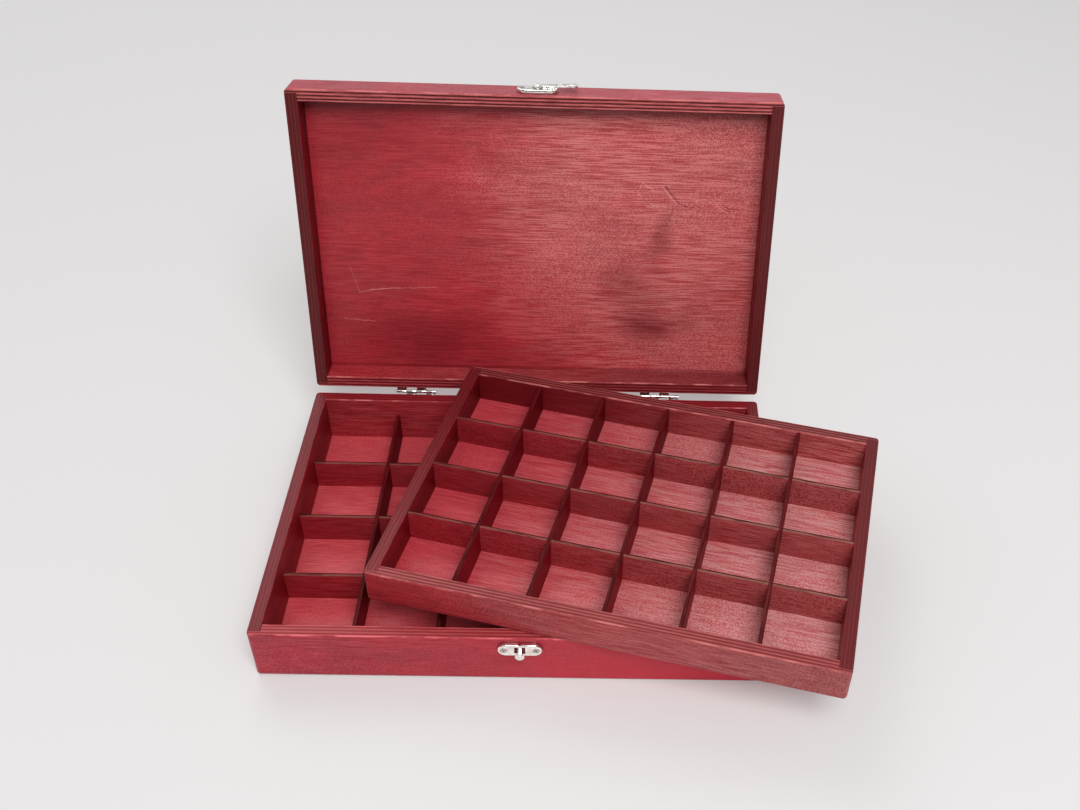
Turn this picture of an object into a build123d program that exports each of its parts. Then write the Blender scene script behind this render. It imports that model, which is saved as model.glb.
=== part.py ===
from build123d import *
import os
from math import asin, atan2, cos, hypot, radians, sin, tan

# A plywood stamp box: a divided base, a hinged lid that stands open, and a loose divided tray that lies
# askew across the base's rims. Lengths are in millimetres. X runs to the right, Y to the back and Z up,
# and the origin is the middle of the base's underside.

# The box's outside, and the board that it is made of
box_width = 350.0
box_depth = 238.0
base_height = 43.0
wall_thickness = 8.8
outer_plies = 2.9           # the part of each front and rear board that covers the side boards' ends
corner_radius = 3.0         # upright corners
edge_radius = 2.6           # the edges round the underside, and round the lid's top
panel_seat = 4.4            # how far a floor or panel is let into the boards around it
panel_clearance = 0.1       # all round a floor or panel in its seat

# The base's inside
base_floor_thickness = 4.0
base_divider_drop = 15.0    # from the rims down to the dividers
base_columns = 6
base_rows = 4

# The dividers, half-lapped into each other
divider_thickness = 2.7
slot_clearance = 0.1
lap_share = 0.5             # how much of a divider's height its slots take

# The lid
lid_height = 25.5
lid_panel_thickness = 6.5
seam_gap = 0.3              # between the lid's rims and the base's, closed
lid_open_angle = 100.7

# The tray, and how it lies on the base. Put away, it nests in the base with the first two clearances
tray_finger_room = 7.4      # at each end
tray_slip = 1.4             # in front and behind
tray_wall_thickness = 8.8
tray_height = 27.6
tray_floor_thickness = 3.0
tray_divider_drop = 0.6
tray_columns = 6
tray_rows = 4
tray_shift = 77.6           # its middle, to the right of the base's
tray_turn = -13.47
tray_lid_gap = 0.8          # between its rear left corner and the open lid's rim
tray_gap = 0.05             # between its underside and the base's rims

# The hinges, a pair
hinge_middle = 96.7         # from the box's middle
hinge_width = 31.0
hinge_sheet = 0.6
hinge_knuckles = 4
knuckle_gap = 0.12
knuckle_diameter = 2.4
hinge_pin_diameter = 1.2
pin_clearance = 0.03
pin_offset = 3.1            # from the rear faces out to the pin
pin_end = 0.15              # how far the pin stands out of the end knuckles
leaf_height = 13.0          # from the pin to the leaf's far edge
leaf_step = 4.2             # from the pin to where the leaf leaves the board
leaf_corner = 1.5
stop_reach = 2.6            # the stop lips' outer radius
stop_gap_angle = 1.5
stop_lip_angle = 22.0
lip_clearance = 0.08        # between a stop lip and the other leaf's knuckles

# The screws of the hinges and of the latch. Their cones are as high as the sheet that they hold is thick
hinge_screw_head = 3.2
hinge_screw_shank = 1.6
hinge_screw_length = 6.5
hinge_screw_spacing = 18.0
latch_screw_head = 4.0
latch_screw_shank = 1.9
latch_screw_length = 8.2
latch_screw_spacing = 21.3
screw_clearance = 0.05
recess_share = 0.62         # a cross recess's span, as a share of the head
recess_slot = 0.5
recess_depth = 0.4

# The latch's two plates, pressed from sheet
plate_length = 28.9
plate_height = 10.5
plate_raise = 3.0
plate_sheet = 0.6
plate_edge = 0.35            # the bevel round its face
dip_width = 2.4
dip_depth = 0.7
catch_x = 0.7
catch_middle = 34.4         # above the underside
latch_middle = 8.8          # above the lid's rims

# The catch's window, and the tongue that is bent out of it
window_width = 7.0
window_top = 3.2            # above the plate's middle
window_bottom = 3.0         # below the plate's middle
tongue_width = 2.6
tongue_bend = 2.4           # above the plate's middle
tongue_slope = 60.0         # from the plate's face
tongue_head_diameter = 6.4
tongue_head_middle = 3.25   # below the plate's middle
tongue_stand = 5.3          # from the board to the back of the head
tongue_head_edge = 0.3

# The hook and its rivet
hook_thickness = 1.6
hook_gap = 0.15             # between the plate's face and the hook
hook_rest_angle = 9.0       # above level, where it was left
hook_boss_diameter = 7.2
hook_end_diameter = 7.4
hook_reach = 25.2           # from the rivet to the middle of the round end
hook_arm_end_width = 6.4
hook_waist_width = 5.2
hook_edge = 0.2
notch_width = 3.2
notch_clearance = 0.3       # between the tongue and the bottom of the notch
hook_boss_end = 5.2         # the raised middle of the round end
hook_boss_height = 0.3
rivet_diameter = 3.0
rivet_clearance = 0.05
rivet_head_diameter = 5.4
rivet_head_height = 1.0
rivet_head_bevel = 0.9
rivet_tail_diameter = 4.6
rivet_tail_height = 0.5

overrun = 1.0               # how far a cutting shape runs past what it cuts

# Sizes that follow from those above
base_inner_width = box_width - 2 * wall_thickness
base_inner_depth = box_depth - 2 * wall_thickness
tray_width = base_inner_width - 2 * tray_finger_room
tray_depth = base_inner_depth - 2 * tray_slip
tray_inner_width = tray_width - 2 * tray_wall_thickness
tray_inner_depth = tray_depth - 2 * tray_wall_thickness
lid_rims = base_height + seam_gap
pin_y = box_depth / 2 + pin_offset
pin_z = base_height + seam_gap / 2
lying_box = (Align.CENTER, Align.CENTER, Align.MIN)


def jointed_frame(width, depth, height, wall, panel_thickness):
    """Four boards and a panel, standing on the panel. The front and rear boards run the full width."""
    blank = extrude(RectangleRounded(width, depth, corner_radius), height)
    blank = fillet(blank.faces().sort_by(Axis.Z)[0].edges(), edge_radius)
    inner_width = width - 2 * wall
    inner_depth = depth - 2 * wall
    blank -= Pos(0, 0, -overrun) * Box(inner_width, inner_depth, height + 2 * overrun, align=lying_box)
    seat_width = inner_width + 2 * panel_seat
    seat_depth = inner_depth + 2 * panel_seat
    blank -= Pos(0, 0, -overrun) * Box(seat_width, seat_depth, panel_thickness + overrun, align=lying_box)

    side_width = wall + overrun
    side_depth = depth - 2 * outer_plies
    side_middle = inner_width / 2 + side_width / 2
    side_room = Box(side_width, side_depth, height, align=lying_box)
    left_room = Pos(-side_middle, 0, 0) * side_room
    right_room = Pos(side_middle, 0, 0) * side_room
    front, rear = (blank - left_room - right_room).solids().sort_by(Axis.Y)
    panel = Box(
        seat_width - 2 * panel_clearance,
        seat_depth - 2 * panel_clearance,
        panel_thickness,
        align=lying_box,
    )
    return {
        "front": front,
        "rear": rear,
        "left": (blank & left_room).solid(),
        "right": (blank & right_room).solid(),
        "panel": panel,
    }


def divider_grid(inner_width, inner_depth, low, high, columns, rows):
    """Thin strips that cross: those that run to the back are slotted from below, the others from above."""
    height = high - low
    lap = lap_share * height
    slot = divider_thickness + slot_clearance
    column_places = [inner_width * (i / columns - 1 / 2) for i in range(1, columns)]
    row_places = [inner_depth * (i / rows - 1 / 2) for i in range(1, rows)]

    column_strips = []
    for x in column_places:
        strip = Pos(x, 0, low) * Box(divider_thickness, inner_depth, height, align=lying_box)
        for y in row_places:
            strip -= Pos(x, y, low - overrun) * Box(slot, slot, lap + overrun, align=lying_box)
        column_strips.append(strip)

    row_strips = []
    for y in row_places:
        strip = Pos(0, y, low) * Box(inner_width, divider_thickness, height, align=lying_box)
        for x in column_places:
            strip -= Pos(x, y, low + lap) * Box(slot, slot, height - lap + overrun, align=lying_box)
        row_strips.append(strip)
    return column_strips, row_strips


def screw(head, shank, length, sheet, clearance=0.0):
    """A countersunk screw that points down from z = 0. A clearance makes it the hole for that screw."""
    head_radius = head / 2 + clearance
    shank_radius = shank / 2 + clearance
    end = -length - clearance
    outline = Polyline(
        (0, 0),
        (head_radius, 0),
        (shank_radius, -sheet),
        (shank_radius, end),
        (0, end),
        close=True,
    )
    return revolve(Plane.XZ * make_face(outline), Axis.Z)


def cross_head_screw(head, shank, length, sheet):
    """The screw with its cross recess."""
    span = recess_share * head
    cross = Rectangle(span, recess_slot) + Rectangle(recess_slot, span)
    return screw(head, shank, length, sheet) - extrude(cross, -recess_depth)


def pressed_plate():
    """A shallow dish with round ends, its open side on z = 0 and its face above it."""
    outside = extrude(SlotOverall(plate_length, plate_height), plate_raise)
    face_edges = outside.faces().sort_by(Axis.Z)[-1].edges()
    outside = chamfer(face_edges, plate_edge)
    hollow_length = plate_length - 2 * plate_sheet
    hollow_height = plate_height - 2 * plate_sheet
    hollow = extrude(SlotOverall(hollow_length, hollow_height), plate_raise - plate_sheet)
    dip_edge = plate_height / 2
    dip = Polyline(
        (-dip_width / 2, dip_edge + overrun),
        (-dip_width / 2, dip_edge),
        (0, dip_edge - dip_depth),
        (dip_width / 2, dip_edge),
        (dip_width / 2, dip_edge + overrun),
        close=True,
    )
    return outside - hollow - extrude(make_face(dip), plate_raise)


latch_screw_places = [Pos(side * latch_screw_spacing / 2, 0, plate_raise) for side in (-1, 1)]
latch_screw_hole = screw(
    latch_screw_head, latch_screw_shank, latch_screw_length, plate_sheet, screw_clearance
)
latch_screw = cross_head_screw(latch_screw_head, latch_screw_shank, latch_screw_length, plate_sheet)


# The tongue's line, seen from the side: down in the plate's face, out at a slope, then down in the head
slope_steepness = tan(radians(tongue_slope))
slope_rise = tongue_stand + plate_sheet - plate_raise
slope_drop = slope_rise / slope_steepness
bend_shift = plate_sheet * tan(radians(tongue_slope / 2))
slope_end = tongue_bend - slope_drop


def catch():
    """The catch plate, with a window and the tongue that was cut and bent out of it."""
    plate = pressed_plate()
    window_height = window_top + window_bottom
    window = Box(window_width, window_height, plate_raise + overrun, align=lying_box)
    plate -= Pos(0, (window_top - window_bottom) / 2, 0) * window
    for place in latch_screw_places:
        plate -= place * latch_screw_hole
    strip_line = Polyline(
        (window_top, plate_raise - plate_sheet),
        (window_top, plate_raise),
        (tongue_bend, plate_raise),
        (slope_end, plate_raise + slope_rise),
        (-tongue_head_middle, plate_raise + slope_rise),
        (-tongue_head_middle, tongue_stand),
        (slope_end - bend_shift, tongue_stand),
        (tongue_bend - bend_shift, plate_raise - plate_sheet),
        close=True,
    )
    strip = extrude(Plane.YZ * make_face(strip_line), tongue_width / 2, both=True)
    head = Cylinder(tongue_head_diameter / 2, plate_sheet, align=lying_box)
    head = chamfer(head.faces().sort_by(Axis.Z)[-1].edges(), tongue_head_edge)
    head = Pos(0, -tongue_head_middle, tongue_stand) * head
    return (plate + strip + head).solid()


# The hook's layer, and where the tongue crosses it
hook_back = plate_raise + hook_gap
hook_face = hook_back + hook_thickness
crossing_rise = hook_back + hook_thickness / 2 - plate_raise
tongue_depth = bend_shift + plate_sheet / slope_steepness
crossing_middle = tongue_bend - crossing_rise / slope_steepness - tongue_depth / 2
latch_pivot_height = lid_rims + latch_middle
notch_middle = latch_pivot_height - catch_middle - crossing_middle
notch_bottom = -tongue_width / 2 - notch_clearance


def hook_plate():
    """The pressed plate on the lid, bored for the hook's rivet."""
    plate = pressed_plate()
    plate -= Cylinder(rivet_diameter / 2 + rivet_clearance, 2 * plate_raise + overrun)
    for place in latch_screw_places:
        plate -= place * latch_screw_hole
    return plate.solid()


def hook():
    """The hook with its arm along +X from the rivet. Its notch opens on the side that leads as it closes."""
    arm_end = hook_arm_end_width / 2
    waist = hook_waist_width / 2
    arm = make_face(
        [
            Line((0, -arm_end), (0, arm_end)),
            ThreePointArc((0, arm_end), (hook_reach / 2, waist), (hook_reach, arm_end)),
            Line((hook_reach, arm_end), (hook_reach, -arm_end)),
            ThreePointArc((hook_reach, -arm_end), (hook_reach / 2, -waist), (0, -arm_end)),
        ]
    )
    round_end = Pos(hook_reach, 0) * Circle(hook_end_diameter / 2)
    outline = Circle(hook_boss_diameter / 2) + arm + round_end
    blank = extrude(outline, hook_thickness)
    blank = chamfer(blank.faces().sort_by(Axis.Z)[-1].edges(), hook_edge)
    notch_height = hook_end_diameter
    notch = Box(notch_width, notch_height, hook_thickness + 2 * overrun, align=(Align.CENTER, Align.MIN, Align.MIN))
    blank -= Pos(notch_middle, notch_bottom, -overrun) * notch
    bore_radius = rivet_diameter / 2 + rivet_clearance
    blank -= Cylinder(bore_radius, hook_thickness + 2 * overrun)
    boss = Cone(hook_boss_end / 2, hook_boss_end / 2 - hook_boss_height, hook_boss_height, align=lying_box)
    blank += Pos(hook_reach, 0, hook_thickness) * boss
    return Pos(0, 0, hook_back) * blank.solid()


def rivet():
    """The hook's rivet, turned: a tail behind the plate's face, a shank, and a bevelled head over the hook."""
    shank_radius = rivet_diameter / 2
    tail_radius = rivet_tail_diameter / 2
    head_radius = rivet_head_diameter / 2
    plate_back = plate_raise - plate_sheet
    tail_end = plate_back - rivet_tail_height
    head_seat = hook_face + hook_gap
    head_top = head_seat + rivet_head_height
    half_section = Polyline(
        (0, tail_end),
        (tail_radius, tail_end),
        (tail_radius, plate_back),
        (shank_radius, plate_back),
        (shank_radius, head_seat),
        (head_radius, head_seat),
        (head_radius - rivet_head_bevel, head_top),
        (0, head_top),
        close=True,
    )
    return revolve(Plane.XZ * make_face(half_section), Axis.Z)


# The latch is drawn lying on the front boards' faces, with its x to the right, y up and z out of the board
front_face = Plane(origin=(catch_x, -box_depth / 2, 0), x_dir=(1, 0, 0), z_dir=(0, -1, 0)).location
catch_place = front_face * Pos(0, catch_middle, 0)
latch_place = front_face * Pos(0, latch_pivot_height, 0)

# A hinge is drawn round its pin, with the boards' rear faces at y = -pin_offset
knuckle_pitch = hinge_width / hinge_knuckles
knuckle_radius = knuckle_diameter / 2
bore_radius = hinge_pin_diameter / 2 + pin_clearance
sheet_back = -pin_offset
sheet_face = sheet_back + hinge_sheet


def hinge_ramp():
    """The side view of a leaf's ramp, which leaves the board and runs past the knuckle as a tangent."""
    reach = hypot(sheet_face, leaf_step)
    tangent = (reach**2 - knuckle_radius**2) ** 0.5
    slope = atan2(leaf_step, -sheet_face) - asin(knuckle_radius / reach)
    along_y = cos(slope)
    along_z = sin(slope)
    touch_y = sheet_face + tangent * along_y
    touch_z = -leaf_step + tangent * along_z
    back_y = touch_y - hinge_sheet * along_z
    back_z = touch_z + hinge_sheet * along_y
    board_z = back_z - (back_y - sheet_back) * along_z / along_y
    corners = [
        (sheet_back, -leaf_step),
        (sheet_face, -leaf_step),
        (touch_y, touch_z),
        (back_y, back_z),
        (sheet_back, board_z),
    ]
    return make_face(Polyline(*corners, close=True))


def polar(radius, angle):
    """A point round the pin, with the angle measured from straight back, upwards."""
    return (radius * cos(radians(angle)), radius * sin(radians(angle)))


def stop_lip(low_radius):
    """The side view of the lip below the pin. The lid's lip comes down on it when the lid is open."""
    upper = -(lid_open_angle + stop_gap_angle) / 2
    lower = upper - stop_lip_angle
    corners = [
        polar(low_radius, upper),
        polar(stop_reach, upper),
        polar(stop_reach, lower),
        polar(low_radius, lower),
    ]
    return make_face(Polyline(*corners, close=True))


def hinge_leaf(first_knuckle):
    """A leaf that hangs from the pin: its sheet, every other knuckle with a ramp, and the stop lip."""
    plate = Box(hinge_width, hinge_sheet, leaf_height - leaf_step)
    far_corners = plate.edges().filter_by(Axis.Y).group_by(Axis.Z)[0]
    leaf = Pos(0, (sheet_back + sheet_face) / 2, leaf_middle) * fillet(far_corners, leaf_corner)
    lip = extrude(Plane.YZ * stop_lip(knuckle_radius + lip_clearance), hinge_width)
    leaf += Pos(-hinge_width / 2, 0, 0) * lip
    section = Plane.YZ * (hinge_ramp() + Circle(knuckle_radius) + stop_lip(bore_radius))
    knuckle = extrude(section, knuckle_pitch - knuckle_gap)
    for index in range(first_knuckle, hinge_knuckles, 2):
        left = -hinge_width / 2 + index * knuckle_pitch + knuckle_gap / 2
        leaf += Pos(left, 0, 0) * knuckle
    leaf -= Rot(0, 90, 0) * Cylinder(bore_radius, hinge_width + 2 * overrun)
    for place in hinge_screw_places:
        leaf -= place * hinge_screw_hole
    return leaf


def hinge_pin():
    """A plain pin, its two ends a little bevelled."""
    pin = Cylinder(hinge_pin_diameter / 2, hinge_width + 2 * pin_end)
    return Rot(0, 90, 0) * chamfer(pin.edges().filter_by(GeomType.CIRCLE), pin_end)


leaf_middle = -(leaf_height + leaf_step) / 2
hinge_screw_places = [
    Pos(side * hinge_screw_spacing / 2, sheet_face, leaf_middle) * Rot(-90, 0, 0) for side in (-1, 1)
]
hinge_screw_hole = screw(
    hinge_screw_head, hinge_screw_shank, hinge_screw_length, hinge_sheet, screw_clearance
)
hinge_screw = cross_head_screw(hinge_screw_head, hinge_screw_shank, hinge_screw_length, hinge_sheet)

hinge_places = {side: Pos(sign * hinge_middle, pin_y, pin_z) for side, sign in (("left", -1), ("right", 1))}


def upside_down(shape):
    """The same shape, mirrored top to bottom: a lid's rail or leaf is its base's, turned over."""
    return mirror(shape, about=Plane.XY)


def open_lid(shape):
    """Swings a piece of the closed lid back about the hinges' pins."""
    return Pos(0, pin_y, pin_z) * Rot(-lid_open_angle, 0, 0) * Pos(0, -pin_y, -pin_z) * shape


# The open lid's rear rim, and the tray pushed back until its rounded rear left corner is next to it
open_rim_y = pin_y - pin_offset * cos(radians(lid_open_angle)) + (lid_rims - pin_z) * sin(radians(lid_open_angle))
corner_left = tray_width / 2 - corner_radius
corner_back = tray_depth / 2 - corner_radius
corner_y = corner_back * cos(radians(tray_turn)) - corner_left * sin(radians(tray_turn)) + corner_radius
tray_y = open_rim_y - tray_lid_gap - corner_y


def on_tray(shape):
    """Lays a piece of the tray, drawn standing on z = 0, across the base's rims."""
    return Pos(tray_shift, tray_y, base_height + tray_gap) * Rot(0, 0, tray_turn) * shape


pieces = {}

# The base's boards, with the pilot holes of the screws that go into them
base = jointed_frame(box_width, box_depth, base_height, wall_thickness, base_floor_thickness)
for place in latch_screw_places:
    base["front"] -= catch_place * place * latch_screw_hole
for hinge_place in hinge_places.values():
    for place in hinge_screw_places:
        base["rear"] -= hinge_place * place * hinge_screw_hole
for side in ("front", "rear", "left", "right"):
    pieces[f"base_{side}_wall"] = base[side]
pieces["base_floor"] = base["panel"]

base_grid = divider_grid(
    base_inner_width,
    base_inner_depth,
    base_floor_thickness,
    base_height - base_divider_drop,
    base_columns,
    base_rows,
)
for kind, strips in zip(("column", "row"), base_grid):
    for number, strip in enumerate(strips, 1):
        pieces[f"base_{kind}_divider_{number}"] = strip

# The lid's rails and panel
lid = jointed_frame(box_width, box_depth, lid_height, wall_thickness, lid_panel_thickness)
lid = {side: Pos(0, 0, lid_rims + lid_height) * upside_down(board) for side, board in lid.items()}
for place in latch_screw_places:
    lid["front"] -= latch_place * place * latch_screw_hole
for hinge_place in hinge_places.values():
    for place in hinge_screw_places:
        lid["rear"] -= hinge_place * upside_down(place * hinge_screw_hole)
for side in ("front", "rear", "left", "right"):
    pieces[f"lid_{side}_rail"] = open_lid(lid[side])
pieces["lid_panel"] = open_lid(lid["panel"])

# The tray
tray = jointed_frame(tray_width, tray_depth, tray_height, tray_wall_thickness, tray_floor_thickness)
for side in ("front", "rear", "left", "right"):
    pieces[f"tray_{side}_wall"] = on_tray(tray[side])
pieces["tray_floor"] = on_tray(tray["panel"])

tray_grid = divider_grid(
    tray_inner_width,
    tray_inner_depth,
    tray_floor_thickness,
    tray_height - tray_divider_drop,
    tray_columns,
    tray_rows,
)
for kind, strips in zip(("column", "row"), tray_grid):
    for number, strip in enumerate(strips, 1):
        pieces[f"tray_{kind}_divider_{number}"] = on_tray(strip)

# The hinges: the lid's knuckles are the first and third from the left, the base's the second and fourth
base_leaf = hinge_leaf(first_knuckle=1)
lid_leaf = upside_down(hinge_leaf(first_knuckle=0))
base_hinge_screws = []
lid_hinge_screws = []
for side, hinge_place in hinge_places.items():
    pieces[f"{side}_hinge_base_leaf"] = hinge_place * base_leaf
    pieces[f"{side}_hinge_lid_leaf"] = open_lid(hinge_place * lid_leaf)
    pieces[f"{side}_hinge_pin"] = hinge_place * hinge_pin()
    for place in hinge_screw_places:
        base_hinge_screws.append(hinge_place * place * hinge_screw)
        lid_hinge_screws.append(open_lid(hinge_place * upside_down(place * hinge_screw)))
pieces["hinge_base_screws"] = Compound(base_hinge_screws)
pieces["hinge_lid_screws"] = Compound(lid_hinge_screws)

# The latch: the catch on the base, and on the lid the plate, its rivet and the hook, swung to the right
pieces["catch_plate"] = catch_place * catch()
pieces["catch_screws"] = Compound([catch_place * place * latch_screw for place in latch_screw_places])
pieces["latch_plate"] = open_lid(latch_place * hook_plate())
pieces["latch_screws"] = Compound([open_lid(latch_place * place * latch_screw) for place in latch_screw_places])
pieces["latch_rivet"] = open_lid(latch_place * rivet())
pieces["latch_hook"] = open_lid(latch_place * Rot(0, 0, hook_rest_angle) * hook())

os.makedirs("parts", exist_ok=True)
for name, piece in pieces.items():
    export_step(piece, f"parts/{name}.step")
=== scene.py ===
from math import cos, hypot, pi, radians, sin

import bmesh
import bpy
from mathutils import Matrix, Vector


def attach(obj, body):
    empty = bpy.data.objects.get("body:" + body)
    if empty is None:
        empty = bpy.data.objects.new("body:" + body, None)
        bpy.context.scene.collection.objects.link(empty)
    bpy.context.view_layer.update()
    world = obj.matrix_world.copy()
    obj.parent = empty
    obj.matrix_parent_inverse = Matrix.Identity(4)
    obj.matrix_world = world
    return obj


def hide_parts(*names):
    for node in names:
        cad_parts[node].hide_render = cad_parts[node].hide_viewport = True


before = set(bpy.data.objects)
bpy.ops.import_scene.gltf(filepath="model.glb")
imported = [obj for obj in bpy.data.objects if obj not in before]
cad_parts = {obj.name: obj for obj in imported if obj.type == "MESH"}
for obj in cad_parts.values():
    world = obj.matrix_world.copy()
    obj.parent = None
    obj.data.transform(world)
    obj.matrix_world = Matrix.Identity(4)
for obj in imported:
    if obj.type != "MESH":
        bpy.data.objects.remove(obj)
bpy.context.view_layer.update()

# The camera
# It stands in front of the box, a little to its right, and looks down into it. Its place, its turn and its
# lens were fitted to the photograph's corners with the part's real sizes.
image_width = 1080
camera_place = (0.0485489, -0.6005603, 0.6733279)
camera_turn = (0.8593646, -0.0353688, -0.0081927)
focal_length = 1198.564         # in pixels of the image
optical_right = 94.243          # the optical middle, in pixels right of and above the image's middle
optical_up = 16.058

camera = bpy.data.objects.new("camera", bpy.data.cameras.new("camera"))
bpy.context.scene.collection.objects.link(camera)
bpy.context.scene.camera = camera
camera.location = camera_place
camera.rotation_euler = camera_turn
camera.data.lens = camera.data.sensor_width * focal_length / image_width
camera.data.shift_x = -optical_right / image_width
camera.data.shift_y = -optical_up / image_width

# The base's four boards
# Birch plywood, seven plies in 9 mm, stained cherry red. The front and rear boards are rabbeted over the
# ends of the side boards and glued. The rims are sanded, so their arrises are soft and their stain is thin.
box_half_width = 0.175
box_half_depth = 0.119
corner_radius = 0.003
base_rim = 0.043
board_thickness = 0.0088
board_plies = 7
face_skin = 0.0005              # how deep a board's face shows before its plies' edges do
skin_share = 0.6                # the share of that depth at which the plies' edges start to show
arris_radius = 0.0007
arris_segments = 3
sharp_edge = radians(40)
smooth_edge = radians(12)
flat_edge = radians(0.5)
merge_distance = 0.000002
same_place = 0.00005

stain_red = (0.44, 0.010, 0.026, 1)
stain_deep = (0.30, 0.004, 0.012, 1)
dark_stain_and_shade = (0.11, 0.003, 0.006, 1)
bright_stain_and_light = (0.68, 0.050, 0.080, 1)
pale_haze_and_sheen = (0.74, 0.27, 0.255, 1)
mauve_haze_and_sheen = (0.52, 0.22, 0.27, 1)
# Arris colours: the pale ones are a painted highlight over rubbed stain; the dark one makes the side boards'
# arrises darker
worn_pink_highlight = (0.66, 0.19, 0.18, 1)
worn_red_highlight = (0.86, 0.17, 0.20, 1)
dark_arris = (0.060, 0.010, 0.012, 1)


def feed(tree, socket, value):
    """Links a socket to another one, or gives it a plain value."""
    if isinstance(value, bpy.types.NodeSocket):
        tree.links.new(value, socket)
    else:
        socket.default_value = value


def step(tree, operation, *values):
    """One sum on a shader's values."""
    node = tree.nodes.new("ShaderNodeMath")
    node.operation = operation
    for socket, value in zip(node.inputs, values):
        feed(tree, socket, value)
    return node.outputs["Value"]


def fade(tree, value, low, high, start=0.0, end=1.0):
    """A smooth change from start to end while the value goes from low to high."""
    node = tree.nodes.new("ShaderNodeMapRange")
    node.interpolation_type = "SMOOTHSTEP"
    settings = {"Value": value, "From Min": low, "From Max": high, "To Min": start, "To Max": end}
    for name, setting in settings.items():
        feed(tree, node.inputs[name], setting)
    return node.outputs["Result"]


def tint(tree, share, first, second):
    """The first colour, with the second one laid over it by its share."""
    node = tree.nodes.new("ShaderNodeMix")
    node.data_type = "RGBA"
    feed(tree, node.inputs["Factor"], share)
    colours = [socket for socket in node.inputs if socket.type == "RGBA"]
    feed(tree, colours[0], first)
    feed(tree, colours[1], second)
    return [socket for socket in node.outputs if socket.type == "RGBA"][0]


def clouds(tree, place, seed, lumps, detail=3.0, distortion=0.0):
    """Noise between 0 and 1, with about so many lumps to the metre on each axis."""
    stretch = tree.nodes.new("ShaderNodeVectorMath")
    stretch.operation = "MULTIPLY"
    feed(tree, stretch.inputs[0], place)
    stretch.inputs[1].default_value = lumps
    node = tree.nodes.new("ShaderNodeTexNoise")
    node.noise_dimensions = "4D"
    feed(tree, node.inputs["Vector"], stretch.outputs["Vector"])
    feed(tree, node.inputs["W"], seed)
    node.inputs["Scale"].default_value = 1.0
    node.inputs["Detail"].default_value = detail
    node.inputs["Distortion"].default_value = distortion
    return node.outputs["Fac"]


def apart(tree, place):
    """The three numbers of a place."""
    node = tree.nodes.new("ShaderNodeSeparateXYZ")
    feed(tree, node.inputs["Vector"], place)
    return node.outputs["X"], node.outputs["Y"], node.outputs["Z"]


def diagonal(tree, first, second):
    """How far off a place is, from how far it is along each of two axes."""
    squares = step(tree, "MULTIPLY_ADD", first, first, step(tree, "MULTIPLY", second, second))
    return step(tree, "SQRT", squares)


socket_kinds = {"vector": "NodeSocketVector", "value": "NodeSocketFloat", "colour": "NodeSocketColor"}
wood_takes = {
    "Place": "vector",
    "Seed": "value",
    "Lift": "value",
    "Haze": "value",
    "Bare": "colour",
    "Depth": "value",
}
board_takes = dict(wood_takes, Rim="colour", Line="colour", Sunk="value", Arris_colour="colour")
finish_gives = {"Colour": "colour", "Roughness": "value", "Height": "value"}


def shader_group(name, takes, gives):
    """A new group with its sockets. Returns its tree, what goes in, and what comes out."""
    tree = bpy.data.node_groups.new(name, "ShaderNodeTree")
    for socket, kind in takes.items():
        tree.interface.new_socket(name=socket, in_out="INPUT", socket_type=socket_kinds[kind])
    for socket, kind in gives.items():
        tree.interface.new_socket(name=socket, in_out="OUTPUT", socket_type=socket_kinds[kind])
    taken = tree.nodes.new("NodeGroupInput")
    given = tree.nodes.new("NodeGroupOutput")
    return tree, taken.outputs, given.inputs


def use_group(tree, group, **values):
    """Places a group in a shader, and feeds the inputs that are named."""
    node = tree.nodes.new("ShaderNodeGroup")
    node.node_tree = group
    for name, value in values.items():
        feed(tree, node.inputs[name], value)
    return node.outputs


# The lumps to the metre of each noise in the veneer, along the grain and both ways across it
pore_lumps = (1050, 1450, 1450)
streak_lumps = (55, 1500, 1500)
streak_patch_lumps = (9, 16, 16)
clouding_lumps = (13, 26, 26)
blot_lumps = (70, 110, 110)
fleck_lumps = (70, 1300, 1300)
fleck_patch_lumps = (28, 70, 70)
# Its fades: from one value to another, and from one share to another where that isn't from 0 to 1
streaky_fade = (0.36, 0.58, 0.30, 0.70)
stain_fade = (0.36, 0.62)
blot_fade = (0.30, 0.55, 0.22, 0.0)
clouding_fade = (0.34, 0.60, 0.32, 0.0)
fleck_fade = (0.58, 0.68, 0.0, 0.55)
fleck_patch_fade = (0.48, 0.60)
haze_fade = (0.38, 0.64, 0.32, 1.75)
veneer_roughness = (0.35, 0.65, 0.50, 0.40)


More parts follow.
